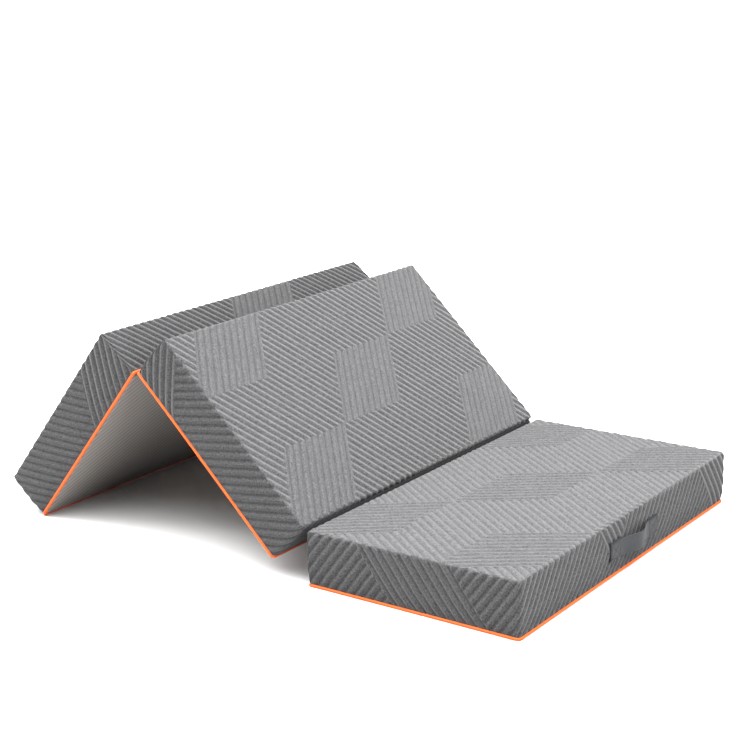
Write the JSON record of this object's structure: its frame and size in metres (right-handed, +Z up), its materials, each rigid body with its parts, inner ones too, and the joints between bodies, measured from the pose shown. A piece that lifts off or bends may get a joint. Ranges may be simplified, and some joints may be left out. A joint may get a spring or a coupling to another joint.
{
  "type": "folding floor mattress",
  "caption": "Folding floor mattress of hinged foam panels in ribbed knit covers, with a corded base edge and a webbing carry handle, set down half folded.",
  "frame": {"origin": "on the floor, under the middle of the bounding box", "axes": "+X from the standing tent to the panel with the carry handle, +Y across the mattress, +Z up"},
  "size_m": [1.7618, 1.2045, 0.6013],
  "materials": {
    "knit": "ribbed knit",
    "base_fabric": "fine twill",
    "piping_fabric": "smooth woven",
    "liner_fabric": "plain weave",
    "comfort_foam": "open-cell foam",
    "support_foam": "open-cell foam",
    "zip_fabric": "woven tape",
    "zip_metal": "satin",
    "webbing": "woven webbing",
    "hinge_fabric": "plain weave"
  },
  "bodies": {
    "front_panel": {"front_top_cover": "knit", "front_side_band": "knit", "front_base_cloth": "base_fabric", "front_piping": "piping_fabric", "front_liner": "liner_fabric", "front_comfort_foam": "comfort_foam", "front_support_foam": "support_foam", "front_zip_tape": "zip_fabric", "handle_strap": "webbing", "handle_patch_near": "webbing", "handle_patch_far": "webbing"},
    "middle_panel": {"middle_top_cover": "knit", "middle_side_band": "knit", "middle_base_cloth": "base_fabric", "middle_piping": "piping_fabric", "middle_liner": "liner_fabric", "middle_comfort_foam": "comfort_foam", "middle_support_foam": "support_foam", "middle_zip_tape": "zip_fabric", "front_hinge_web": "hinge_fabric", "rear_hinge_tape": "hinge_fabric"},
    "rear_panel": {"rear_top_cover": "knit", "rear_side_band": "knit", "rear_base_cloth": "base_fabric", "rear_piping": "piping_fabric", "rear_liner": "liner_fabric", "rear_comfort_foam": "comfort_foam", "rear_support_foam": "support_foam", "rear_zip_tape": "zip_fabric"},
    "front_slider": {"front_zip_slider": "zip_metal"},
    "front_pull": {"front_zip_pull": "zip_metal"},
    "middle_slider": {"middle_zip_slider": "zip_metal"},
    "middle_pull": {"middle_zip_pull": "zip_metal"},
    "rear_slider": {"rear_zip_slider": "zip_metal"},
    "rear_pull": {"rear_zip_pull": "zip_metal"}
  },
  "joints": [
    {"name": "front_fold", "type": "hinge", "parent": "front_panel", "child": "middle_panel", "pos_m": [0.21324, -0.60225, 0.1595], "axis": [0, 1, 0], "range_deg": [-44.35, 135.65], "deforming": ["front_hinge_web"]},
    {"name": "rear_fold", "type": "hinge", "parent": "middle_panel", "child": "rear_panel", "pos_m": [-0.35926, -0.60225, 0.49512], "axis": [0, 1, 0], "range_deg": [-84.68, 95.32], "deforming": ["rear_hinge_tape"]},
    {"name": "front_zip_slide", "type": "slide", "parent": "front_panel", "child": "front_slider", "axis": [-1, 0, 0], "range_m": [0, 0.501]},
    {"name": "front_pull_swing", "type": "hinge", "parent": "front_slider", "child": "front_pull", "pos_m": [0.78574, 0.60005, 0.072], "axis": [0, 0, 1], "range_deg": [0, 180]},
    {"name": "middle_zip_slide", "type": "slide", "parent": "middle_panel", "child": "middle_slider", "axis": [-0.7151, 0, 0.699], "range_m": [0, 0.501]},
    {"name": "middle_pull_swing", "type": "hinge", "parent": "middle_slider", "child": "middle_pull", "pos_m": [0.10095, 0.60005, 0.14691], "axis": [0.699, 0, 0.7151], "range_deg": [0, 180]},
    {"name": "rear_zip_slide", "type": "slide", "parent": "rear_panel", "child": "rear_slider", "axis": [0.6297, 0, 0.7769], "range_m": [0, 0.501]},
    {"name": "rear_pull_swing", "type": "hinge", "parent": "rear_slider", "child": "rear_pull", "pos_m": [-0.77622, 0.60005, 0.09615], "axis": [0.7769, 0, -0.6297], "range_deg": [0, 180]}
  ]
}
